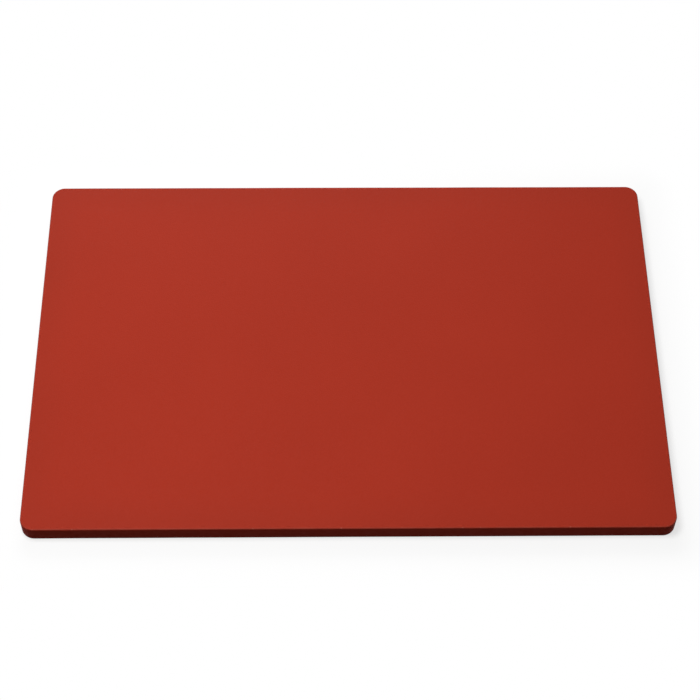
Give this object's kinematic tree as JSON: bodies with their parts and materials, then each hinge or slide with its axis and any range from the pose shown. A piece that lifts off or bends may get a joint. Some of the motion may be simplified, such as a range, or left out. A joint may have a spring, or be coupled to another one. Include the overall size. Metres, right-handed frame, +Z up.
{
  "type": "cutting board",
  "caption": "Rectangular solid plastic cutting board with rounded corners and softened rims, usable on either face.",
  "frame": {"origin": "centre of the underside, on the surface that the board rests on", "axes": "+X along the board's long side, +Y across it and away from the user, +Z up out of the work face"},
  "size_m": [0.4572, 0.3048, 0.0127],
  "materials": {
    "red_polyethylene": "satin"
  },
  "bodies": {
    "root": {"board_slab": "red_polyethylene"}
  },
  "joints": []
}
